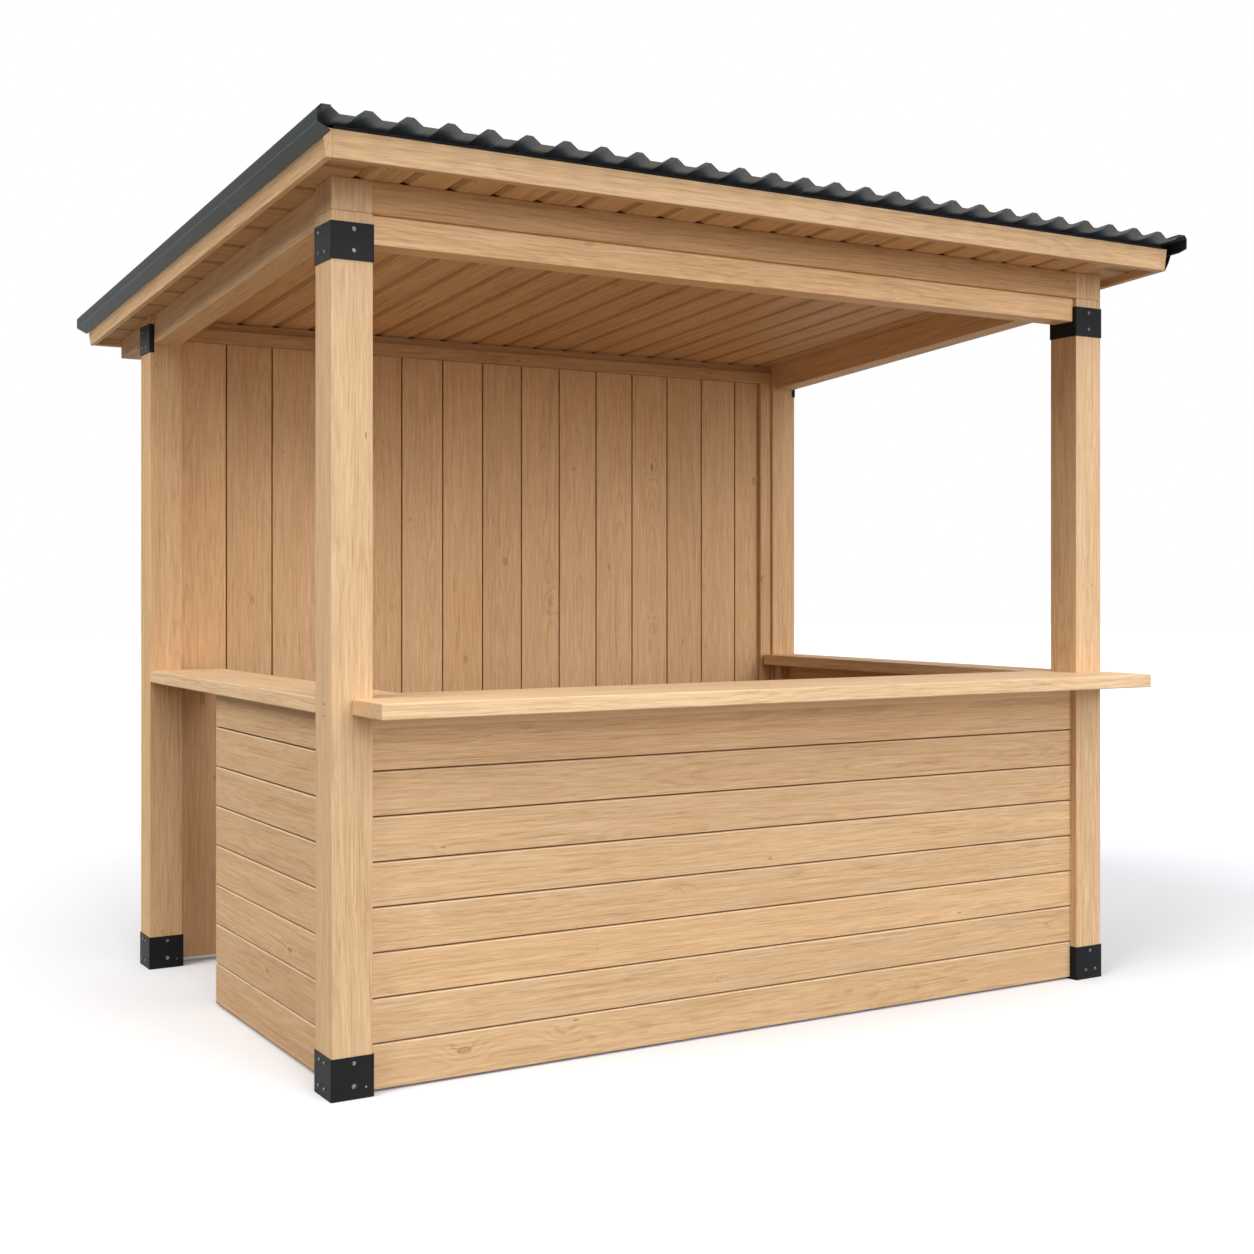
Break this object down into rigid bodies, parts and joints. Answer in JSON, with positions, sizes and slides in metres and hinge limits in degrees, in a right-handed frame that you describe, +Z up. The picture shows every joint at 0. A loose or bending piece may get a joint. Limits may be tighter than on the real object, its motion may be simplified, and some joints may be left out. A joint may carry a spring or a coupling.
{
  "type": "outdoor garden bar",
  "caption": "Open timber garden bar: four posts, board walls under wrap-round counters, boarded back wall and a sloping corrugated metal roof.",
  "frame": {"origin": "on the ground under the middle of the roof", "axes": "+X right along the serving front, +Y from the serving front to the back wall, +Z up"},
  "size_m": [3.18, 2.525, 2.5897],
  "materials": {
    "frame_timber": "satin",
    "counter_timber": "satin",
    "bracket_steel": "matte",
    "roof_metal": "satin"
  },
  "bodies": {
    "root": {"back_beam": "frame_timber", "back_rail": "frame_timber", "back_wall": "frame_timber", "barge_board_left": "frame_timber", "barge_board_right": "frame_timber", "cap_block_left": "frame_timber", "cap_block_right": "frame_timber", "corner_batten": "frame_timber", "counter_front": "counter_timber", "counter_left": "counter_timber", "counter_right": "counter_timber", "eaves_strip_back": "roof_metal", "eaves_strip_front": "roof_metal", "fascia_back": "frame_timber", "fascia_front": "frame_timber", "foot_bracket_back_left": "bracket_steel", "foot_bracket_back_right": "bracket_steel", "foot_bracket_front_left": "bracket_steel", "foot_bracket_front_right": "bracket_steel", "front_beam": "frame_timber", "front_plate": "frame_timber", "panel_front": "frame_timber", "panel_left": "frame_timber", "panel_right": "frame_timber", "post_back_left": "frame_timber", "post_back_right": "frame_timber", "post_front_left": "frame_timber", "post_front_right": "frame_timber", "purlins": "frame_timber", "rafter_tail_left": "frame_timber", "rafter_tail_right": "frame_timber", "roof_deck": "frame_timber", "roof_sheet": "roof_metal", "side_beam_left": "frame_timber", "side_beam_right": "frame_timber", "side_soffit_left": "frame_timber", "side_soffit_right": "frame_timber", "studs_front": "frame_timber", "studs_left": "frame_timber", "studs_right": "frame_timber", "top_bracket_back_left": "bracket_steel", "top_bracket_back_right": "bracket_steel", "top_bracket_front_left": "bracket_steel", "top_bracket_front_right": "bracket_steel", "verge_flashing_left": "roof_metal", "verge_flashing_right": "roof_metal", "wall_rails": "frame_timber"}
  },
  "joints": []
}
